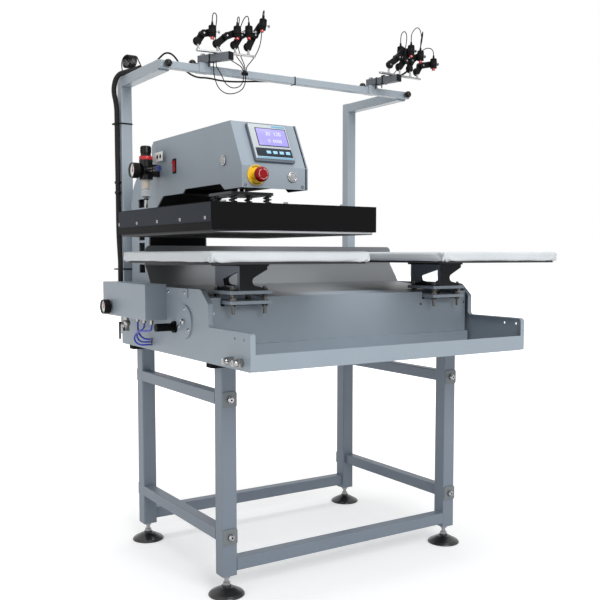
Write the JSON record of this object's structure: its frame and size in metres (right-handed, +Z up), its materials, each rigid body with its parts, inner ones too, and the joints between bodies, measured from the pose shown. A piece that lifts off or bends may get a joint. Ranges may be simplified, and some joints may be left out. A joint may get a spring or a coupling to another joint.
{
  "type": "pneumatic heat press",
  "caption": "Air-driven flat heat press on a legged stand: a head slides sideways between padded lower platens and lowers a heated platen; laser pointers on an overhead frame.",
  "frame": {"origin": "floor level, at the middle of the machine's footprint", "axes": "+X to the operator's right along the traverse, +Y away from the operator, +Z up"},
  "size_m": [1.3175, 1.023, 1.8961],
  "materials": {
    "stand_paint": "powder-coated darker blue-grey",
    "body_paint": "powder-coated light blue-grey",
    "frame_paint": "powder-coated silver-grey",
    "guard_steel": "fine brushed",
    "black_metal": "satin black",
    "bracket_metal": "black oxide",
    "steel": "machined",
    "nickel": "nickel plated",
    "aluminium": "machined",
    "spring_steel": "oiled",
    "foot_rubber": "moulded matte",
    "pad_cover": "coated silver-white cloth",
    "black_plastic": "moulded",
    "controller_plastic": "moulded dark grey",
    "red_plastic": "moulded",
    "blue_tube": "polyurethane",
    "bowl_clear": "clear polycarbonate",
    "cable_black": "cable jacket"
  },
  "bodies": {
    "stand": {"front_leg_frame": "stand_paint", "rear_leg_frame": "stand_paint", "side_rails": "stand_paint", "levelling_feet": "foot_rubber", "chassis_pads": "foot_rubber", "side_plate_left": "body_paint", "side_plate_right": "body_paint", "front_tray": "body_paint", "front_panel": "body_paint", "deck_guard": "guard_steel", "rear_wall": "body_paint", "guide_rails": "steel", "traverse_cylinder": "aluminium", "shock_absorbers": "black_metal", "platen_mounts": "bracket_metal", "platen_brackets": "bracket_metal", "left_platen": "pad_cover", "right_platen": "pad_cover", "valve_box": "body_paint", "supply_gauge": "black_plastic", "air_fittings": "nickel", "air_tubes": "blue_tube", "mast_left": "frame_paint", "mast_right": "frame_paint", "laser_beam": "frame_paint", "cable_trunk": "cable_black"},
    "head": {"carriage": "steel", "column": "body_paint", "column_covers": "black_metal", "control_panel": "body_paint", "press_cylinder": "aluminium", "controller": "controller_plastic", "switch_bodies": "nickel", "filter_regulator": "black_plastic", "filter_bowl": "bowl_clear", "line_gauge": "black_plastic"},
    "press": {"press_plate": "steel", "float_springs": "spring_steel", "platen_casing": "black_metal", "heater_plate": "aluminium"},
    "estop": {"estop_button": "red_plastic"},
    "start_button": {"front_button": "nickel"},
    "side_start_button": {"side_button": "nickel"},
    "power_rocker": {"rocker": "red_plastic"},
    "pressure_knob": {"regulator_knob": "black_plastic"},
    "line_pointer": {"line_needle": "red_plastic"},
    "supply_pointer": {"supply_needle": "red_plastic"},
    "valve_lever": {"shutoff_lever": "red_plastic"},
    "pointer_arm_left": {"laser_arm_left": "frame_paint", "laser_cables_left": "cable_black"},
    "pointer_arm_right": {"laser_arm_right": "frame_paint", "laser_cables_right": "cable_black"},
    "pointer_1": {"laser_1": "black_plastic"},
    "pointer_2": {"laser_2": "black_plastic"},
    "pointer_3": {"laser_3": "black_plastic"},
    "pointer_4": {"laser_4": "black_plastic"},
    "pointer_5": {"laser_5": "black_plastic"},
    "pointer_6": {"laser_6": "black_plastic"},
    "pointer_7": {"laser_7": "black_plastic"},
    "pointer_8": {"laser_8": "black_plastic"}
  },
  "joints": [
    {"name": "head_traverse", "type": "slide", "parent": "stand", "child": "head", "axis": [1, 0, 0], "range_m": [0, 0.796]},
    {"name": "platen_press", "type": "slide", "parent": "head", "child": "press", "axis": [0, 0, -1], "range_m": [0, 0.0455], "stiffness_N_per_m": 6000, "springref_m": -0.1},
    {"name": "estop_push", "type": "slide", "parent": "head", "child": "estop", "axis": [0, 1, 0], "range_m": [0, 0.004]},
    {"name": "start_button_push", "type": "slide", "parent": "head", "child": "start_button", "axis": [0, 1, 0], "range_m": [0, 0.002], "stiffness_N_per_m": 900, "springref_m": -0.002},
    {"name": "side_button_push", "type": "slide", "parent": "head", "child": "side_start_button", "axis": [1, 0, 0], "range_m": [0, 0.002], "stiffness_N_per_m": 900, "springref_m": -0.002},
    {"name": "rocker_tip", "type": "hinge", "parent": "head", "child": "power_rocker", "pos_m": [-0.503, 0.049, 1.326], "axis": [0, 1, 0], "range_deg": [0, 16]},
    {"name": "pressure_turn", "type": "hinge", "parent": "head", "child": "pressure_knob", "pos_m": [-0.549, 0.178, 1.383], "axis": [0, 0, 1], "continuous": true},
    {"name": "line_needle_turn", "type": "hinge", "parent": "head", "child": "line_pointer", "pos_m": [-0.5958, 0.178, 1.319], "axis": [1, 0, 0], "range_deg": [-135, 135]},
    {"name": "supply_needle_turn", "type": "hinge", "parent": "stand", "child": "supply_pointer", "pos_m": [-0.6238, 0.39, 0.868], "axis": [1, 0, 0], "range_deg": [-135, 135]},
    {"name": "valve_lever_turn", "type": "hinge", "parent": "stand", "child": "valve_lever", "pos_m": [-0.5955, 0.312, 0.814], "axis": [1, 0, 0], "range_deg": [0, 90]},
    {"name": "pointer_arm_left_turn", "type": "hinge", "parent": "stand", "child": "pointer_arm_left", "pos_m": [-0.36, 0.1385, 1.6775], "axis": [0, 0, 1], "range_deg": [-30, 20]},
    {"name": "pointer_arm_right_turn", "type": "hinge", "parent": "stand", "child": "pointer_arm_right", "pos_m": [0.338, 0.1385, 1.6775], "axis": [0, 0, 1], "range_deg": [-30, 30]},
    {"name": "pointer_1_roll", "type": "hinge", "parent": "pointer_arm_left", "child": "pointer_1", "pos_m": [-0.36656, 0.0549, 1.7635], "axis": [0, 0, 1], "range_deg": [-90, 90]},
    {"name": "pointer_2_roll", "type": "hinge", "parent": "pointer_arm_left", "child": "pointer_2", "pos_m": [-0.28001, 0.0461, 1.7715], "axis": [0, 0, 1], "range_deg": [-90, 90]},
    {"name": "pointer_3_roll", "type": "hinge", "parent": "pointer_arm_left", "child": "pointer_3", "pos_m": [-0.23922, 0.04196, 1.7765], "axis": [0, 0, 1], "range_deg": [-90, 90]},
    {"name": "pointer_4_roll", "type": "hinge", "parent": "pointer_arm_left", "child": "pointer_4", "pos_m": [-0.18947, 0.03691, 1.8055], "axis": [0.1385, -0.0141, 0.9903], "range_deg": [-90, 90]},
    {"name": "pointer_5_roll", "type": "hinge", "parent": "pointer_arm_right", "child": "pointer_5", "pos_m": [0.42199, 0.06684, 1.8015], "axis": [0, 0, 1], "range_deg": [-90, 90]},
    {"name": "pointer_6_roll", "type": "hinge", "parent": "pointer_arm_right", "child": "pointer_6", "pos_m": [0.43133, 0.01747, 1.7975], "axis": [0, 0, 1], "range_deg": [-90, 90]},
    {"name": "pointer_7_roll", "type": "hinge", "parent": "pointer_arm_right", "child": "pointer_7", "pos_m": [0.48014, 0.02174, 1.7845], "axis": [0, 0, 1], "range_deg": [-90, 90]},
    {"name": "pointer_8_roll", "type": "hinge", "parent": "pointer_arm_right", "child": "pointer_8", "pos_m": [0.54988, 0.02784, 1.7655], "axis": [0, 0, 1], "range_deg": [-90, 90]}
  ]
}
